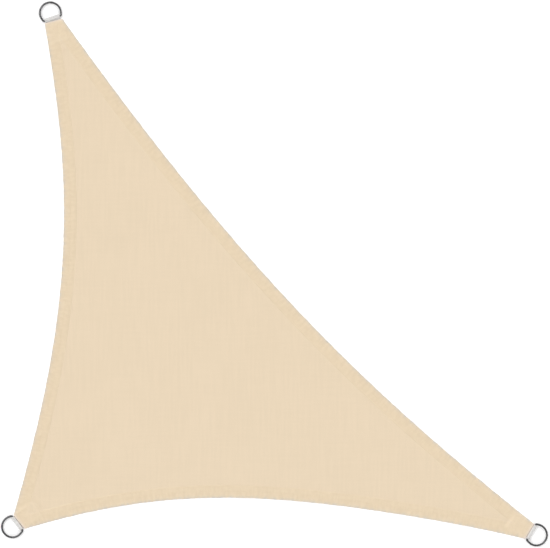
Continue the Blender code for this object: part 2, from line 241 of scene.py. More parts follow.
# painted shade, with some soiling, where the webbing comes out of the cloth
WEB_SOIL_AND_SHADE = (0.500, 0.410, 0.330, 1.0)
SOIL_AND_SHADE_REACH = 0.0020        # painted shade, with some soiling, darkens the webbing where it comes out of the cloth
RIB_PITCH = 0.0024         # the webbing's ribs, and the picks woven across them
RIB_DEPTH = 0.00016
PICK_PITCH = 0.0012
RIB_SIDE, PICK_SIDE = (0.02, 0.30), (0.04, 0.34)  # foot and top of their sides, in pitches
WEB_STREAKS = (420.0, 30.0)       # how often its tone changes, per metre across and along
WEB_ROUGHNESS = (0.80, 0.55)
STEEL_DARK = (0.095, 0.094, 0.096, 1.0)
STEEL_LIGHT = (0.165, 0.164, 0.166, 1.0)
DULLER = (0.50, 0.72, 0.0, 0.12)  # marks from faint to full make the steel rougher, by this
FINE_ROUGHNESS = (0.14, 0.20)     # roughness between the drawing lines, and on them
NOISE_CORE = (0.34, 0.66)         # the parts of a noise's range that are stretched to all of it
NOISE_WIDE = (0.3, 0.7)

# ---- floor and light

FLOOR_COLOUR = (0.95, 0.95, 0.95, 1.0)
FLOOR_GLOW = 0.2           # the floor is lit from below a little, like a light table
FLOOR_RADIUS = 40.0
SKY_SIDES, SKY_TOP = 1.95, 0.16
SKY_EDGE = (0.42, 0.85)    # height in the sky, 1 overhead, over which it darkens
KEY_STRENGTH = 0.9
KEY_SPREAD_DEG = 40.0
KEY_AZIMUTH_DEG = 140.0
KEY_HEIGHT_DEG = 55.0

# ---- camera, in real sizes

PIXEL = 0.003852           # what a pixel of the 550-pixel-wide picture covers
PICTURE_WIDTH = 550
VIEW_CENTRE = (0.0021, -0.0003)
LENS, SENSOR = 200.0, 36.0


# ======== outline

def smooth(x):
    """0 below 0, 1 above 1, and a soft step between."""
    x = np.clip(x, 0.0, 1.0)
    return x * x * (3 - 2 * x)


def quarter_round(x):
    """0 below 0, 1 above 1, and a quarter of a circle between."""
    return np.sqrt(1 - (1 - np.clip(x, 0.0, 1.0)) ** 2)


def spread(start, stop, step):
    """Even values from start to stop, at most a step apart."""
    return np.linspace(start, stop, max(2, ceil(abs(stop - start) / step)) + 1)


def unit(degrees):
    angle = radians(degrees)
    return np.array([cos(angle), sin(angle)])


def left_of(vector):
    return np.array([-vector[1], vector[0]])


class End:
    """The cloth's squared-off end at a corner."""

    def __init__(self, corner):
        self.corner = corner
        self.name = corner.name
        self.axis = unit(corner.ring_deg)
        self.middle = np.array([corner.x, corner.y]) - corner.end_gap * self.axis
        self.out = unit(corner.ring_deg + corner.end_skew)

    def point(self, along, across):
        """Points at a depth into the cloth, along the webbing, and to its left."""
        along, across = np.broadcast_arrays(along, across)
        return (self.middle - along[..., None] * self.axis
                + across[..., None] * left_of(self.axis))

    def rim(self, across):
        """Points on the end itself, across from the ring's axis."""
        return self.middle + np.asarray(across)[..., None] * left_of(self.out)

    def span(self):
        """Both ends of the rim, across from the ring's axis."""
        shift, half = self.corner.end_shift, self.corner.end_width / 2
        return shift - half, shift + half

    def nearest(self, points):
        """(along, across) of points: the reverse of point()."""
        apart = points - self.middle
        return -apart @ self.axis, apart @ left_of(self.axis)

    def depth(self, points):
        """How far points lie behind the end."""
        return -(points - self.middle) @ self.out

    def patch_line(self, past):
        """Points along the doubled corner's inner edge, or a row a little way past it."""
        sway = spread(-3 * HEM_WIDTH, 3 * HEM_WIDTH, PAD_STEP)
        return self.rim(sway) - (self.corner.patch + past) * self.out


class Edge:
    """A bowed side of the cloth, as a curve over the straight line between its ends."""

    def __init__(self, index, ends):
        start, stop = ends[index], ends[(index + 1) % len(ends)]
        self.side = SIDES[index]
        self.index = index
        self.start = start.rim(start.span()[1])
        chord = stop.rim(stop.span()[0]) - self.start
        self.length = hypot(*chord)
        self.along = chord / self.length
        self.inward = left_of(self.along)

    def bow(self, run):
        t = run / self.length
        arch = 4 * t * (1 - t)
        early = 1 - 2 * t
        fuller = (self.side.round + self.side.lean * early) * (arch - EVEN_ARCH)
        return self.side.depth * arch * (1 + self.side.skew * early + fuller)

    def slope(self, run, step=1e-4):
        return (self.bow(run + step) - self.bow(run - step)) / (2 * step)

    def scallop(self, run):
        """How far the gathered edge stands in from the smooth bow."""
        fade = np.clip(np.minimum(run, self.length - run) / PUCKER_FADE, 0.0, 1.0)
        waves = sum(share * np.sin(tau * run / length + phase + self.index)
                    for length, share, phase in PUCKER_WAVES)
        return self.side.wave * fade * waves

    def gather(self, run, offset):
        """The same at an offset from the side: the scallops die out across the hem."""
        return self.scallop(run) * (1 - smooth(offset / HEM_WIDTH))

    def point(self, run, offset=0.0):
        """Points at distances along the side and in from it."""
        slope = self.slope(run)
        normal = (self.inward - slope[..., None] * self.along) / np.hypot(1, slope)[..., None]
        foot = self.start + run[..., None] * self.along + self.bow(run)[..., None] * self.inward
        return foot + np.asarray(offset)[..., None] * normal

    def nearest(self, points):
        """(run, offset) of points: the reverse of point()."""
        apart = points - self.start
        x, y = apart @ self.along, apart @ self.inward
        run = x
        for _ in range(NEAREST_ROUNDS):
            run = x + (y - self.bow(run)) * self.slope(run)
        slope = self.slope(run)
        return run, (y - self.bow(run) - slope * (x - run)) / np.hypot(1, slope)


ENDS = [End(corner) for corner in CORNERS]
EDGES = [Edge(index, ENDS) for index in range(len(SIDES))]


def inset(points):
    """How far in from the gathered outline points lie."""
    depths = [end.depth(points) for end in ENDS]
    for edge in EDGES:
        run, offset = edge.nearest(points)
        depths.append(offset - edge.gather(run, offset))
    return np.min(depths, axis=0)


# ======== relief

def wave_sum(table, run, offset, seed):
    """Waves that run along a side, slanted across it."""
    return sum(height * np.sin(tau * (run + slant * offset) / length + phase + seed)
               for length, height, slant, phase in table)


def sheet_lift(points):
    """Underside of the sail: it lies nearly flat, lifted a little along the slack hems."""
    lift = np.full(len(points), REST_GAP)
    for length, height, degrees, phase in SHEET_WAVES:
        lift += height * (1 + np.sin(tau * (points @ unit(degrees)) / length + phase))
    for edge in EDGES:
        run, offset = edge.nearest(points)
        fade = smooth(1 - offset / SLACK_REACH)
        fade *= smooth(np.minimum(run, edge.length - run) / (2 * PUCKER_FADE))
        top = sum(height for _, height, _, _ in SLACK)
        lift += fade * (top + wave_sum(SLACK, run, offset, SIDE_SHIFT * edge.index))
    for end in ENDS:
        lift = REST_GAP + (lift - REST_GAP) * smooth(end.depth(points) / CORNER_FLAT - 1)
    return lift


def hem_cover(offset):
    """1 on a hem, 0 past its sewn inner edge, which is turned under and so rounded."""
    return quarter_round((HEM_WIDTH - offset) / HEM_STEP)


def hem_relief(edge, points):
    """Height that a side's hem adds to the cloth."""
    run, offset = edge.nearest(points)
    bounds = (0.0, *STITCH_ROWS, HEM_WIDTH)
    billow = sum(np.sin(pi * np.clip((offset - low) / (high - low), 0.0, 1.0))
                 for low, high in zip(bounds, bounds[1:]))
    calm = sum(np.sin(tau * run / length + edge.index) for length in PUCKER_CALM)
    strength = PUCKER_LEAST + (1 - PUCKER_LEAST) * smooth((calm + 1) / 2)
    puckers = billow * strength * wave_sum(HEM_PUCKERS, run, offset, PUCKER_SHIFT * edge.index)
    drawn = sum(np.exp(-((offset - row) / GROOVE_WIDTH) ** 2) for row in STITCH_ROWS)
    return hem_cover(offset) * (HEM_RISE + puckers - GROOVE_DEPTH * drawn)


def corner_seams():
    """The sewn box and cross over the webbing's tails: (along, across) of each line's ends."""
    near, far = BOX_DEPTHS
    inner = near + BOX_MARGIN
    half = PAD_FLAT_HALF - BOX_MARGIN
    box = ((near, -half), (near, half), (far, half), (far, -half), (near, -half))
    return [*zip(box, box[1:]), ((inner, -half), (far, half)), ((inner, half), (far, -half)),
            ((inner, -half), (inner, half))]


def seam_distance(along, across):
    """Distance from points to the nearest of those lines."""
    best = np.full(along.shape, np.inf)
    for (a0, b0), (a1, b1) in corner_seams():
        da, db = a1 - a0, b1 - b0
        part = ((along - a0) * da + (across - b0) * db) / (da * da + db * db)
        part = np.clip(part, 0.0, 1.0)
        best = np.minimum(best, np.hypot(along - a0 - part * da, across - b0 - part * db))
    return best


def pad_window(end, points):
    """1 on the flat top of the pad over the tails, falling to 0 at its foot."""
    along, across = end.nearest(points)
    side = smooth((PAD_FOOT_HALF - np.abs(across)) / (PAD_FOOT_HALF - PAD_FLAT_HALF))
    back = smooth((PAD_FOOT_DEPTH - along) / (PAD_FOOT_DEPTH - PAD_FLAT_DEPTH))
    return side * back


def upper_height(points):
    """Top of the cloth at points of the plan."""
    hems = np.sort([hem_relief(edge, points) for edge in EDGES], axis=0)
    hems = hems[-1] + CROSSING_SHARE * hems[:-1].sum(0)
    patches = []
    for end in ENDS:
        past = end.depth(points) - end.corner.patch
        seam = PATCH_GROOVE * np.exp(-((past + PATCH_SEAM) / GROOVE_WIDTH) ** 2)
        patches.append(smooth(-past / HEM_STEP) * (PATCH_RISE - GROOVE_DEPTH * seam))
    height = sheet_lift(points) + CLOTH + np.maximum(hems, 0) + np.max(patches, axis=0)
    for end in ENDS:
        seam = np.exp(-(seam_distance(*end.nearest(points)) / GROOVE_WIDTH) ** 2)
        felt = sum(hem_cover(edge.nearest(points)[1]) for edge in EDGES)
        top = PAD_TOP + PAD_CHANNEL_RISE * (felt - 1) - GROOVE_DEPTH * seam
        height = height + pad_window(end, points) * (top - height)
    return height


def pocket_lens(across):
    """1 where a pocket has its full height, 0 at its sides, where the skins meet."""
    return smooth((POCKET_HALF - np.abs(across)) / (POCKET_HALF - POCKET_FLAT_HALF))


def mouth_opening(points):
    """1 where the two lips of a pocket's mouth are apart, 0 where the skins meet."""
    places = [end.nearest(points) for end in ENDS]
    return np.max([pocket_lens(across) * (along < 3 * NOSE) for along, across in places], axis=0)


def skin_heights(points):
    """(upper, lower) heights of the cloth's two skins, which meet in a rounded outline."""
    top, low = upper_height(points), sheet_lift(points)
    middle, part = (top + low) / 2, quarter_round(inset(points) / NOSE)
    opened = mouth_opening(points)
    upper_seam = middle + opened * (LIP_TOP - middle)
    lower_seam = middle + opened * (LIP_LOW - middle)
    return upper_seam + part * (top - upper_seam), lower_seam + part * (low - lower_seam)


# ======== cloth mesh

def mouth_columns():
    """Places across a pocket's mouth. The two skins meet at the first and the last."""
    flat = spread(-POCKET_FLAT_HALF, POCKET_FLAT_HALF, PAD_STEP)
    return np.array([-POCKET_HALF, *flat, POCKET_HALF])


def outline():
    """The cloth's plan outline, point by point, and the corner whose mouth each point opens.

    That is None where the two skins are joined."""
    points, mouths = [], []
    for index, (end, edge) in enumerate(zip(ENDS, EDGES)):
        first, last = end.span()
        columns = mouth_columns()
        points.extend(end.rim([first, *columns, last]))
        mouths.extend([None, None, *[index] * (len(columns) - 2), None, None])
        run = spread(0.0, edge.length, RUN_STEP)[1:-1]
        points.extend(edge.point(run, edge.scallop(run)))
        mouths.extend([None] * len(run))
    return np.array(points), mouths


def flat_size(rim):
    """The finished sail laid flat: the rectangle that it just fills, and its own area."""
    x, y = rim.T
    area = (x @ np.roll(y, -1) - y @ np.roll(x, -1)) / 2
    return (float(np.ptp(x)), float(np.ptp(y))), float(area)


def side_rows(offsets, step):
    """Rows of points along every side, each kept where its own side is the nearest."""
    kept = []
    for edge in EDGES:
        others = [other for other in EDGES if other is not edge]
        run = spread(-HEM_WIDTH, edge.length + HEM_WIDTH, step)
        for offset in offsets:
            points = edge.point(run, offset + edge.gather(run, offset))
            nearer = np.all([offset <= other.nearest(points)[1] for other in others], axis=0)
            kept.append(points[nearer])
    return np.concatenate(kept)


def end_rows():
    """Rows of points close behind every squared-off end, for its rounded lips."""
    rows = []
    for end in ENDS:
        first, last = end.span()
        columns = np.array([first + NOSE / 2, *mouth_columns(), last - NOSE / 2])
        rows.extend(end.rim(columns) - depth * end.out for depth in NOSE_ROWS)
    return np.concatenate(rows)


def hem_lines():
    """Rows either side of each hem's inner edge, carried on across the other hems."""
    run = spread(-HEM_WIDTH, 4 * HEM_WIDTH, PAD_STEP)
    return np.concatenate([edge.point(where, HEM_WIDTH - back) for edge in EDGES
                           for back in (HEM_STEP, HEM_STEP / 3, 0.0)
                           for where in (run, edge.length - run)])


def pad_grid():
    """A fine grid over every corner's pad, and rows along the doubled corner's edge."""
    along, across = np.meshgrid(spread(0.0, PAD_FOOT_DEPTH, PAD_STEP),
                                spread(-PAD_FOOT_HALF, PAD_FOOT_HALF, PAD_STEP))
    rows = (-PATCH_SEAM - GROOVE_WIDTH, -PATCH_SEAM, -HEM_STEP, -HEM_STEP / 2, 0.0)
    grids = []
    for end in ENDS:
        grids.append(end.point(along.ravel(), across.ravel()))
        grids.extend(end.patch_line(past) for past in rows)
    return np.concatenate(grids)


def field_grid(rim):
    low, high = rim.min(0), rim.max(0)
    x, y = np.meshgrid(spread(low[0], high[0], FIELD_STEP), spread(low[1], high[1], FIELD_STEP))
    return np.stack([x.ravel(), y.ravel()], 1)


def without_neighbours(sets):
    """Joins sets of points, leaving out those too near a point of an earlier set."""
    kept = np.zeros((0, 2))
    for points, apart in sets:
        if len(kept):
            tree = KDTree(len(kept))
            for i, (x, y) in enumerate(kept):
                tree.insert((x, y, 0.0), i)
            tree.balance()
            free = [tree.find((x, y, 0.0))[2] > apart for x, y in points]
            points = points[np.array(free, bool)]
        kept = np.concatenate([kept, points])
    return kept


def triangulate(rim, inner):
    """Triangles over the plan: its outline comes first, in order, then the inner points."""
    count = len(rim)
    loop = [(i, (i + 1) % count) for i in range(count)]
    points = [Vector(point) for point in np.concatenate([rim, inner])]
    spots, _, faces, sources, _, _ = delaunay_2d_cdt(points, loop, [], 1, MERGE_DISTANCE)
    if len(spots) != len(points) or any(source != [i] for i, source in enumerate(sources)):
        raise ValueError("the cloth's points meet or cross")
    return faces


def skin_plan(rim, rows, *finer):
    """Points of one skin inside its outline: rows behind the ends and along the sides, any
    finer sets, each with how far it keeps off the sets before it, and the field."""
    sets = [(end_rows(), 0.0), (side_rows(rows, RUN_STEP), ROW_APART), *finer,
            (side_rows(LOOSE_ROWS, LOOSE_STEP), LOOSE_APART), (field_grid(rim), FIELD_APART)]
    return without_neighbours([(points[inset(points) > RIM_MARGIN], apart)
                               for points, apart in sets])


class MeshBuilder:
    """Vertices and faces of one piece, gathered bit by bit."""

    def __init__(self):
        self.places, self.faces = [], []

    def add(self, places):
        """Adds vertices and returns their indices."""
        first = len(self.places)
        self.places.extend(tuple(place) for place in places)
        return list(range(first, len(self.places)))

    def strip(self, row, next_row, closed=False):
        """Quads between two rows of vertices."""
        pairs = list(zip(row, next_row))
        following = pairs[1:] + pairs[:1] if closed else pairs[1:]
        self.faces.extend((a, b, d, c) for (a, c), (b, d) in zip(pairs, following))

    def close(self, upper, lower):
        """Faces between two rows of vertices. The upper one has the ends of both."""
        self.strip(upper[1:-1], lower)
        self.faces.append((upper[0], upper[1], lower[0]))
        self.faces.append((upper[-1], upper[-2], lower[-1]))

    def mesh(self, name):
        made = bpy.data.meshes.new(name)
        made.from_pydata(self.places, [], self.faces)
        bm = bmesh.new()
        bm.from_mesh(made)
        bmesh.ops.recalc_face_normals(bm, faces=bm.faces)
        bm.to_mesh(made)
        bm.free()
        made.shade_smooth()
        return made


def add_skins(builder, rim, mouths):
    """Both skins of the cloth. Returns the rim's vertices in the upper and the lower one."""
    upper = skin_plan(rim, UPPER_ROWS, (hem_lines(), HEM_LINE_APART), (pad_grid(), PAD_APART))
    lower = skin_plan(rim, LOWER_ROWS)
    top, rim_low = skin_heights(np.concatenate([rim, upper]))
    _, low = skin_heights(np.concatenate([rim, lower]))
    upper_skin = builder.add(np.column_stack([np.concatenate([rim, upper]), top]))
    lower_rim = upper_skin[:len(rim)]
    apart = [i for i, mouth in enumerate(mouths) if mouth is not None]
    for i, made in zip(apart, builder.add(np.column_stack([rim, rim_low[:len(rim)]])[apart])):
        lower_rim[i] = made
    lower_skin = lower_rim + builder.add(np.column_stack([lower, low[len(rim):]]))
    for skin, inner in ((upper_skin, upper), (lower_skin, lower)):
        builder.faces.extend(tuple(skin[i] for i in face) for face in triangulate(rim, inner))
    return upper_skin[:len(rim)], lower_rim


def add_pocket(builder, end, upper_lip, lower_lip):
    """The pocket that takes the webbing's tails: ceiling, floor and back, from its mouth in."""
    columns = mouth_columns()
    mouth, _ = end.nearest(end.rim(columns))
    middle = (POCKET_TOP + LOWER_LAYER) / 2
    for depth in (NOSE / 2, POCKET_DEPTH / 3, 2 * POCKET_DEPTH / 3, POCKET_DEPTH):
        plan = end.point(mouth + (POCKET_DEPTH - mouth) * depth / POCKET_DEPTH, columns)
        above, below = (np.column_stack([plan, middle + pocket_lens(columns) * (height - middle)])
                        for height in (POCKET_TOP, LOWER_LAYER))
        ceiling = builder.add(above)
        floor = [ceiling[0], *builder.add(below[1:-1]), ceiling[-1]]
        builder.strip(upper_lip, ceiling)
        builder.strip(lower_lip, floor)
        upper_lip, lower_lip = ceiling, floor
    builder.close(upper_lip, lower_lip[1:-1])


def mesh_values(items, name, width=1, kind=float):
    """A value, or a row of them, for each of a mesh's vertices, face corners or faces."""
    values = np.empty(len(items) * width, kind)
    items.foreach_get(name, values)
    return values.reshape(-1, width) if width > 1 else values


def add_weave_map(mesh):
    """Cloth coordinates in metres: a turned hem shows the cloth mirrored at its fold."""
    plan = mesh_values(mesh.vertices, "co", 3)[:, :2]
    corners = mesh_values(mesh.loops, "vertex_index", kind=int)
    sizes = mesh_values(mesh.polygons, "loop_total", kind=int)
    upward = mesh_values(mesh.polygons, "normal", 3)[:, 2] > 0
    face = np.repeat(np.arange(len(sizes)), sizes)
    offsets, mirrored, along = [], [], []
    for edge in EDGES:
        run, offset = edge.nearest(plan)
        offsets.append(offset)
        mirrored.append(edge.point(run, -offset))
        along.append(np.stack([run + SEAM_SPACING * edge.index, offset], 1))
    middle = np.array([np.bincount(face, offset[corners]) / sizes for offset in offsets])
    side = middle.argmin(0)[face]
    turned = ((middle.min(0) < HEM_WIDTH) & upward)[face]
    cloth = np.where(turned[:, None], np.array(mirrored)[side, corners], plan[corners])
    set_uv(mesh, "weave", cloth)
    set_uv(mesh, "seam", np.array(along)[side, corners])
    nearest = np.min(offsets, axis=0)
    add_mask(mesh, "pad", np.max([pad_window(end, plan) for end in ENDS], axis=0))
    add_mask(mesh, "hem", hem_cover(nearest))
    add_mask(mesh, "fold", np.exp(-nearest / FOLD_WEAR_AND_SHADE))
    add_mask(mesh, "lip", np.exp(-np.min([end.depth(plan) for end in ENDS], axis=0) / LIP_HIGHLIGHT_REACH))


def set_uv(mesh, name, values):
    """A UV map from a pair of values for each corner of each face."""
    layer = mesh.uv_layers.new(name=name)
    layer.uv.foreach_set("vector", values.astype(np.float32).ravel())


def add_mask(mesh, name, values):
    """A value for each vertex, for a material to read."""
    attribute = mesh.attributes.new(name, "FLOAT", "POINT")
    attribute.data.foreach_set("value", np.clip(values, 0.0, 1.0).astype(np.float32))


def make_cloth():
    """The whole sail of cloth, hems turned and sewn, with a pocket in each corner."""
    rim, mouths = outline()
    builder = MeshBuilder()
    upper_rim, lower_rim = add_skins(builder, rim, mouths)
    for index, end in enumerate(ENDS):
        lip = [i for i, mouth in enumerate(mouths) if mouth == index]
        lip = [lip[0] - 1, *lip, lip[-1] + 1]
        add_pocket(builder, end, [upper_rim[i] for i in lip], [lower_rim[i] for i in lip])
    mesh = builder.mesh("sail_fabric")
    add_weave_map(mesh)
    return piece("sail", mesh, knit_material(), "sail_fabric", "sail_cloth")


# ======== sewing

def run_along(line):
    """Distance along a line to each of its points."""
    return np.concatenate([[0.0], np.cumsum(np.hypot(*np.diff(line, axis=0).T))])


def directions(steps):
    """Unit directions of steps, and those to their left."""
    ahead = steps / np.hypot(*steps.T)[:, None]
    return ahead, np.column_stack([-ahead[:, 1], ahead[:, 0]])


def stations(line, pitch):
    """Even places along a line of plan points, with the directions ahead and to the left."""
    lengths = run_along(line)
    count = max(1, int(lengths[-1] / pitch))
    at = (np.arange(count) + 0.5) * lengths[-1] / count

    def place(where):
        return np.column_stack([np.interp(where, lengths, line[:, k]) for k in (0, 1)])

    return place(at), *directions(place(at + pitch / 4) - place(at - pitch / 4))


def thread_arc():
    """One stitch: a short thread whose ends dip into the cloth, as rings of points.

    Returns (along, across, up) for each, in stitch lengths, thread radii and thread radii."""
    rings = ((-0.50, 0.45, -1.15), (-0.42, 0.80, -0.45), (-0.22, 1.0, 0.0),
             (0.22, 1.0, 0.0), (0.42, 0.80, -0.45), (0.50, 0.45, -1.15))
    turns = [tau * k / THREAD_SIDES for k in range(THREAD_SIDES)]
    return np.array([(along, girth * cos(turn), rise + girth * sin(turn))
                     for along, girth, rise in rings for turn in turns])


def sew(builder, line, pitch, random):
    """A row of stitches along a line, showing on the cloth's top and on its underside."""
    arc = thread_arc()
    middles, ahead, aside = stations(line, pitch)
    count = len(middles)
    varied = 1 + STITCH_VARIETY * random.standard_normal(count)
    length = STITCH_LENGTH * pitch / STITCH_PITCH * varied
    sway = STITCH_SWAY * random.standard_normal(count)
    across = sway[:, None] + THREAD_R * arc[:, 1]
    up = np.tile(arc[:, 2], count)
    for upper in (True, False):
        along = length[:, None] * arc[:, 0] + (0.0 if upper else pitch / 2)
        plan = (middles[:, None] + along[..., None] * ahead[:, None]
                + across[..., None] * aside[:, None]).reshape(-1, 2)
        if upper:
            height = upper_height(plan) + THREAD_R * (THREAD_LIFT + up)
        else:
            height = sheet_lift(plan) - UNDER_THREAD * (UNDER_LIFT + up)
        made = builder.add(np.column_stack([plan, height]))
        for first in range(0, len(made), len(arc)):
            loops = [made[start:start + THREAD_SIDES]
                     for start in range(first, first + len(arc), THREAD_SIDES)]
            for loop, following in zip(loops, loops[1:]):
                builder.strip(loop, following, closed=True)
            builder.faces.append(tuple(reversed(loops[0])))
            builder.faces.append(tuple(loops[-1]))


def hem_rows(edge):
    """The rows of stitching along a side, each with its pitch. They stop at the pads."""
    for offset in STITCH_ROWS:
        run = spread(-HEM_WIDTH, edge.length + HEM_WIDTH, RUN_STEP)
        line = edge.point(run, offset)
        free = inset(line) > BOX_MARGIN
        for end in ENDS:
            along, across = end.nearest(line)
            free &= ~((np.abs(across) < PAD_FOOT_HALF) & (along < PAD_FOOT_DEPTH))
        yield line[free], STITCH_PITCH


def corner_rows(end):
    """The row along the doubled corner's inner edge and the box and cross, with their pitches."""
    line = end.patch_line(-PATCH_SEAM)
    yield line[inset(line) > BOX_MARGIN], STITCH_PITCH
    for seam in corner_seams():
        yield end.point(*np.transpose(seam)), TACK_PITCH


def make_stitching():
    """A piece of thread for every side's hem, then one for every corner."""
    random = np.random.default_rng(THREAD_SEED)
    material = thread_material()

    def sewn(name, rows):
        builder = MeshBuilder()
        for line, pitch in rows:
            sew(builder, line, pitch, random)
        return piece(name, builder.mesh("stitching"), material, "sail_fabric")

    made = [sewn("hem_stitching_" + edge.side.name, hem_rows(edge)) for edge in EDGES]
    return made + [sewn("corner_stitching_" + end.name, corner_rows(end)) for end in ENDS]


# ======== webbing and rings

def corner_matrix(corner):
    """From a corner's own axes, +X out through the ring, to the row's frame."""
    return Matrix.Translation((corner.x, corner.y, 0.0)) @ Matrix.Rotation(
        radians(corner.ring_deg), 4, "Z")


def tangent_angle(x, z, side):
    """Where, round the bar, a straight run from (x, z) meets the middle of the webbing."""
    dx, dz = x + BAR_OFFSET, z - BAR_Z
    return atan2(dz, dx) - side * acos(WRAP_R / hypot(dx, dz))


def webbing_line(corner):
    """Side view of the webbing: points and normals, from the upper tail to the lower one.

    It fits close behind the bar, and its front half is loose."""
    tail_end = -corner.end_gap - WEB_TAIL
    neck = -BAR_OFFSET - LOOP_R - WEB_NECK
    first = tangent_angle(neck, TAIL_HIGH_Z, 1)
    last = tangent_angle(neck, TAIL_LOW_Z, -1) - tau
    above, below = -3 * pi / 2, -5 * pi / 2           # right over and right under the bar
    wrap = [(-BAR_OFFSET + slack + WRAP_R * cos(a), BAR_Z + WRAP_R * sin(a))
            for start, stop, slack in ((first, above, 0.0), (above, below, LOOP_SLACK),
                                       (below, last, 0.0))
            for a in spread(start, stop, WRAP_STEP)]
    steps = spread(tail_end, neck, TAIL_STEP)
    points = [(x, TAIL_HIGH_Z) for x in steps] + wrap + [(x, TAIL_LOW_Z) for x in steps[::-1]]
    points = np.array(points)
    return points, directions(np.gradient(points, axis=0))[1]


def webbing_section():
    """Section of the webbing, all round, across and up: ribs, and rounded selvedges."""
    half = WEB_WIDTH / 2
    across = spread(-half, half, RIB_PITCH / 4)
    edge = quarter_round((half - np.abs(across)) / (WEB_THICK / 2))
    ribs = 1 + RIB_DEPTH / WEB_THICK * (np.cos(tau * across / RIB_PITCH) - 1)
    up = WEB_THICK / 2 * edge * ribs
    return np.concatenate([across, across[-2:0:-1]]), np.concatenate([up, -up[-2:0:-1]])


def make_webbing(end, strap):
    """A ribbed strip wrapped round the ring's bar, both tails sewn into the corner."""
    line, normals = webbing_line(end.corner)
    across, up = webbing_section()
    builder = MeshBuilder()
    rings = [builder.add((x + nx * rise, y, z + nz * rise) for y, rise in zip(across, up))
             for (x, z), (nx, nz) in zip(line, normals)]
    for ring, following in zip(rings, rings[1:]):
        builder.strip(ring, following, closed=True)
    outer = len(across) // 2 + 1                   # points on the outer face
    for ring in (rings[0], rings[-1]):
        builder.close(ring[:outer], ring[outer:][::-1])
    lengths = run_along(line)
    mesh = builder.mesh("webbing")
    places = np.column_stack([np.tile(across, len(line)), np.repeat(lengths, len(across))])
    set_uv(mesh, "weave", places[mesh_values(mesh.loops, "vertex_index", kind=int)])
    out = line[:, 0] + end.corner.end_gap          # how far out of the cloth
    # painted shade, with some soiling, just outside the cloth's end
    soil_and_shade = np.exp(-((out - SOIL_AND_SHADE_REACH / 2) / SOIL_AND_SHADE_REACH) ** 2)
    add_mask(mesh, "soil_and_shade", np.repeat(soil_and_shade, len(across)))
    mesh.transform(corner_matrix(end.corner))
    made = piece("webbing_" + end.name, mesh, strap, "webbing", "webbing_loop_" + end.name)


def ring_line():
    """The wire's centre line in its own plane: a long arc, short legs, bends, and a bar."""
    turn = radians(LEG_DEG)
    bend_x = -BAR_OFFSET + RING_FILLET
    bend_y = (RING_R - RING_FILLET - bend_x * cos(turn)) / sin(turn)
    arc = [(RING_R * cos(a), RING_R * sin(a)) for a in spread(-turn, turn, RING_STEP)]
    bend = [(bend_x + RING_FILLET * cos(a), bend_y + RING_FILLET * sin(a))
            for a in spread(turn, pi, RING_BEND_STEP)]
    bar = [(-BAR_OFFSET, y) for y in spread(bend_y, -bend_y, BAR_STEP)[1:-1]]
    return np.array(arc + bend + bar + [(x, -y) for x, y in reversed(bend)])


def make_ring(end, steel):
    """A D-ring of round polished wire. Its bar is in the loop, its far arc on the floor."""
    line = ring_line()
    outward = -directions(np.roll(line, -1, axis=0) - np.roll(line, 1, axis=0))[1]
    turns = tau * np.arange(WIRE_SIDES) / WIRE_SIDES
    builder = MeshBuilder()
    rings = [builder.add((x + WIRE_R * cos(a) * nx, y + WIRE_R * cos(a) * ny, WIRE_R * sin(a))
                         for a in turns)
             for (x, y), (nx, ny) in zip(line, outward)]
    for ring, following in zip(rings, rings[1:] + rings[:1]):
        builder.strip(ring, following, closed=True)
    mesh = builder.mesh("d_ring")
    tilt = Matrix.Translation((0.0, 0.0, RING_Z)) @ Matrix.Rotation(RING_TILT, 4, "Y")
    mesh.transform(corner_matrix(end.corner) @ tilt)
    piece("ring_" + end.name, mesh, steel, "ring_steel", "d_ring_" + end.name)


# ======== materials

def node(tree, kind, inputs=None, **settings):
    """Adds a node. inputs maps a socket to a value, or to the output that feeds it."""
    made = tree.nodes.new("ShaderNode" + kind)
    for name, value in settings.items():
        setattr(made, name, value)
    for socket, value in (inputs or {}).items():
        if isinstance(value, bpy.types.NodeSocket):
            tree.links.new(value, made.inputs[socket])
        else:
            made.inputs[socket].default_value = value
    return made


def calc(tree, operation, *values):
    return node(tree, "Math", dict(enumerate(values)), operation=operation).outputs[0]


def blend(tree, part, low, high):
    """A colour between two others."""
    mixed = node(tree, "Mix", {"Factor": part, 6: low, 7: high}, data_type="RGBA")
    return mixed.outputs[2]


def ramp(tree, value, low, high, start=0.0, stop=1.0):
    """A soft step from start to stop as a value goes from low to high."""
    return node(tree, "MapRange", {"Value": value, "From Min": low, "From Max": high,
                                   "To Min": start, "To Max": stop},
                interpolation_type="SMOOTHSTEP").outputs[0]


def noise(tree, place, scale, detail=2.0):
    made = node(tree, "TexNoise", {"Vector": place, "Scale": scale, "Detail": detail})
    return made.outputs["Fac"]


def mask(tree, name):
    """A value that the mesh holds for each vertex."""
    return node(tree, "Attribute", attribute_name=name).outputs["Fac"]


def streaks(tree, place, x, y, detail=2.0):
    """Stretched noise: x and y are how often it changes, per metre."""
    scaled = node(tree, "VectorMath", {0: place, 1: (x, y, 1.0)}, operation="MULTIPLY")
    return noise(tree, scaled.outputs[0], 1.0, detail)


def new_material(name, **sockets):
    """A Principled material with its uniform values set on its own sockets."""
    material = bpy.data.materials.new(name)
    material.use_nodes = True
    shader = material.node_tree.nodes["Principled BSDF"]
    for socket, value in sockets.items():
        shader.inputs[socket.replace("_", " ")].default_value = value
    return material, material.node_tree


def feed_shader(tree, colour, relief, strength, depth, roughness=None):
    """Links a material's colour, bumps and, where it varies, roughness."""
    sockets = tree.nodes["Principled BSDF"].inputs
    bump = node(tree, "Bump", {"Strength": strength, "Distance": depth, "Height": relief})
    tree.links.new(colour, sockets["Base Color"])
    tree.links.new(bump.outputs[0], sockets["Normal"])
    if roughness:
        tree.links.new(roughness, sockets["Roughness"])


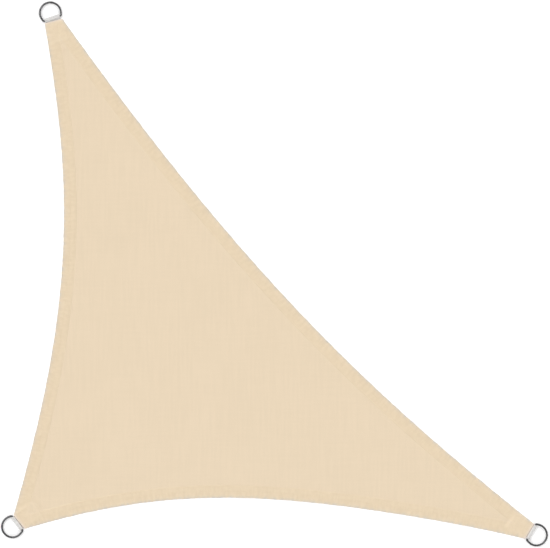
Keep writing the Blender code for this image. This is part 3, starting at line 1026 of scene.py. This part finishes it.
def cloth_place(tree, uv_map):
    """(u, v) of a UV map, in metres, and both as a vector."""
    place = node(tree, "UVMap", uv_map=uv_map).outputs[0]
    split = node(tree, "SeparateXYZ", {0: place})
    return split.outputs[0], split.outputs[1], place


def knit_material():
    """Knitted polyethylene: chains of fine loops up the cloth, flat tapes laid across them."""
    material, tree = new_material("sail_knit", Sheen_Weight=0.04, Sheen_Roughness=0.55,
                                  Specular_IOR_Level=0.20)
    u, v, place = cloth_place(tree, "weave")
    drift = calc(tree, "MULTIPLY", noise(tree, place, DRIFT_SCALE), COURSE_DRIFT)
    wale = calc(tree, "DIVIDE", u, WALE)
    course = calc(tree, "ADD", calc(tree, "DIVIDE", v, COURSE), drift)
    loop = calc(tree, "SINE", calc(tree, "MULTIPLY", course, tau))
    chain = calc(tree, "MULTIPLY", ramp(tree, calc(tree, "PINGPONG", wale, 0.5), *CHAIN_SIDE),
                 ramp(tree, loop, *LOOP_SIDE))
    zigzag = calc(tree, "MULTIPLY", calc(tree, "PINGPONG", wale, 1.0), ZIGZAG)
    tape = calc(tree, "PINGPONG", calc(tree, "ADD", course, zigzag), 0.5)
    tape = calc(tree, "MULTIPLY", ramp(tree, tape, *TAPE_SIDE), TAPE_HEIGHT)
    relief = calc(tree, "MAXIMUM", chain, tape)

    tone = calc(tree, "MULTIPLY_ADD", noise(tree, place, CLOUD_SCALE), CLOUD_SHARE,
                streaks(tree, place, 1 / STREAK, 1 / STREAK_LENGTH))
    tone = calc(tree, "MULTIPLY_ADD", streaks(tree, place, 1 / STREAK_LENGTH, 1 / STREAK),
                CROSS_SHARE, tone)
    colour = blend(tree, ramp(tree, tone, *TONE_RANGE), KNIT_DARK, KNIT_LIGHT)
    # painted shade in the gaps between chains and tapes
    colour = blend(tree, ramp(tree, relief, 0.0, GAP_RELIEF, GAP_SHADE, 0.0), colour, KNIT_GAP_SHADOW)

    _, offset, seam = cloth_place(tree, "seam")
    # painted shade and painted light of the hem's small gathers, as darker and lighter streaks
    gather_shading = streaks(tree, seam, 1 / GATHER_PITCH, 1 / GATHER_LENGTH, 3.0)
    gather_shading = ramp(tree, gather_shading, *NOISE_CORE, -GATHER_SHADE_CONTRAST, GATHER_SHADE_CONTRAST)
    gather_shading = calc(tree, "MULTIPLY", gather_shading, ramp(tree, offset, *GATHER_FADE))
    tone = calc(tree, "MULTIPLY_ADD", mask(tree, "pad"), PAD_PALER, HEM_TONE)
    tone = calc(tree, "ADD", gather_shading, tone)
    hem = calc(tree, "MULTIPLY", mask(tree, "hem"), HEM_SHADE)
    colour = blend(tree, hem, colour, blend(tree, tone, HEM_DARK, HEM_LIGHT))
    # painted light along the hem's turned inner edge, against the shade of its step
    turned = calc(tree, "MULTIPLY", ramp(tree, offset, *TURNED_EDGE[:2], 0.0, TURNED_EDGE_LIGHT),
                  ramp(tree, offset, *TURNED_EDGE[2:], 1.0, 0.0))
    colour = blend(tree, turned, colour, KNIT_EDGE_LIGHT)
    # painted shade of the rounded fold, mixed with wear, greys the folded sides
    wear_and_shade = ramp(tree, streaks(tree, seam, *WEAR_AND_SHADE_STREAKS, 3.0), *NOISE_CORE, *WEAR_AND_SHADE_RANGE)
    colour = blend(tree, calc(tree, "MULTIPLY", mask(tree, "fold"), wear_and_shade), colour, KNIT_WORN_AND_SHADED)
    # painted highlight on the folded lip at each corner's end
    colour = blend(tree, mask(tree, "lip"), colour, KNIT_LIP_HIGHLIGHT)
    feed_shader(tree, colour, relief, 0.55, KNIT_RELIEF,
                ramp(tree, relief, 0.0, 1.0, *KNIT_ROUGHNESS))
    return material


def thread_material():
    """Sewing thread, twisted from two fine yarns, a shade deeper than the cloth."""
    material, tree = new_material("thread", Roughness=0.62, Sheen_Weight=0.15)
    place = node(tree, "TexCoord").outputs["Object"]
    tone = ramp(tree, noise(tree, place, 220.0), *NOISE_WIDE)
    twist = node(tree, "TexWave", {"Vector": place, "Scale": 900.0, "Distortion": 1.0},
                 bands_direction="DIAGONAL")
    feed_shader(tree, blend(tree, tone, THREAD_DARK, THREAD_LIGHT), twist.outputs["Fac"],
                0.35, 0.0001)
    return material


def webbing_material():
    """Woven polyester strap: steep twill ribs along it, a slightly grey, handled look, and
    painted shade where it comes out of the cloth.
    """
    material, tree = new_material("strap", Sheen_Weight=0.2, Sheen_Roughness=0.5)
    u, v, place = cloth_place(tree, "weave")
    across = calc(tree, "DIVIDE", u, RIB_PITCH)
    pick = calc(tree, "ADD", calc(tree, "DIVIDE", v, PICK_PITCH),
                calc(tree, "PINGPONG", across, 1.0))
    weave = calc(tree, "MULTIPLY", ramp(tree, calc(tree, "PINGPONG", across, 0.5), *RIB_SIDE),
                 ramp(tree, calc(tree, "PINGPONG", pick, 0.5), *PICK_SIDE))
    tone = ramp(tree, streaks(tree, place, *WEB_STREAKS, 3.0), *NOISE_WIDE)
    colour = blend(tree, tone, WEB_DARK, WEB_LIGHT)
    # painted shade in the low parts of the weave
    colour = blend(tree, ramp(tree, weave, 0.0, 0.5, 0.45, 0.0), colour, WEB_GAP_SHADOW)
    # painted shade, with some soiling, where the webbing comes out of the cloth
    colour = blend(tree, mask(tree, "soil_and_shade"), colour, WEB_SOIL_AND_SHADE)
    feed_shader(tree, colour, weave, 0.6, 0.0003, ramp(tree, weave, 0.0, 1.0, *WEB_ROUGHNESS))
    return material


def steel_material():
    """Polished stainless wire, with faint drawing lines along it and a few dull marks."""
    material, tree = new_material("polished_steel", Metallic=1.0)
    place = node(tree, "TexCoord").outputs["Object"]
    marks = noise(tree, place, 160.0, 4.0)
    fine = noise(tree, place, 1400.0)
    colour = blend(tree, ramp(tree, marks, 0.35, 0.65), STEEL_DARK, STEEL_LIGHT)
    dull = calc(tree, "ADD", ramp(tree, marks, *DULLER),
                ramp(tree, fine, *NOISE_WIDE, *FINE_ROUGHNESS))
    feed_shader(tree, colour, fine, 0.12, 0.0001, dull)
    return material


def floor_material():
    return new_material("pale_floor", Base_Color=FLOOR_COLOUR, Roughness=0.9,
                        Specular_IOR_Level=0.0, Emission_Color=(1.0, 1.0, 1.0, 1.0),
                        Emission_Strength=FLOOR_GLOW)[0]


# ======== pieces, studio and camera

def put(name, data):
    """A new object, linked into the scene."""
    made = bpy.data.objects.new(name, data)
    bpy.context.scene.collection.objects.link(made)
    return made


def piece(name, mesh, material, slot, *nodes):
    """Puts a mesh in the scene as a piece that rides on the sail's one body."""
    mesh.materials.append(material)
    made = put(name, mesh)
    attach(made, "root")
    if nodes:
        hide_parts(*nodes)
    return made


def make_floor():
    bm = bmesh.new()
    bmesh.ops.create_circle(bm, cap_ends=True, segments=96, radius=FLOOR_RADIUS)
    mesh = bpy.data.meshes.new("floor")
    bm.to_mesh(mesh)
    bm.free()
    mesh.materials.append(floor_material())
    put("floor", mesh)


def make_world():
    """A plain pale studio: bright all round, and darker overhead, so that steel shows."""
    world = bpy.data.worlds.new("studio")
    world.use_nodes = True
    tree = world.node_tree
    ahead = node(tree, "TexCoord").outputs["Generated"]
    height = node(tree, "SeparateXYZ", {0: ahead}).outputs[2]
    level = ramp(tree, height, *SKY_EDGE, SKY_SIDES, SKY_TOP)
    tree.links.new(level, tree.nodes["Background"].inputs["Strength"])
    tree.nodes["Background"].inputs["Color"].default_value = (1.0, 1.0, 1.0, 1.0)
    bpy.context.scene.world = world


def make_key_light():
    """One broad, soft light from the upper left, so that seams and puckers read."""
    data = bpy.data.lights.new("key", "SUN")
    data.energy = KEY_STRENGTH
    data.angle = radians(KEY_SPREAD_DEG)
    toward = Vector((*unit(KEY_AZIMUTH_DEG) * cos(radians(KEY_HEIGHT_DEG)),
                     sin(radians(KEY_HEIGHT_DEG))))
    light = put("key", data)
    light.rotation_mode = "QUATERNION"
    light.rotation_quaternion = toward.to_track_quat("Z", "Y")


def make_camera():
    data = bpy.data.cameras.new("camera")
    data.lens, data.sensor_width, data.clip_end = LENS, SENSOR, 100.0
    camera = put("camera", data)
    camera.location = (*VIEW_CENTRE, LENS * PICTURE_WIDTH * PIXEL / SENSOR)
    bpy.context.scene.camera = camera


def main():
    make_camera()
    make_world()
    make_key_light()
    make_floor()
    bpy.context.scene.view_settings.view_transform = "Standard"
    steel, strap = steel_material(), webbing_material()
    for end in ENDS:
        make_ring(end, steel)
        make_webbing(end, strap)
    cloth = make_cloth()
    stitching = make_stitching()
    flat, area = flat_size(outline()[0])


main()
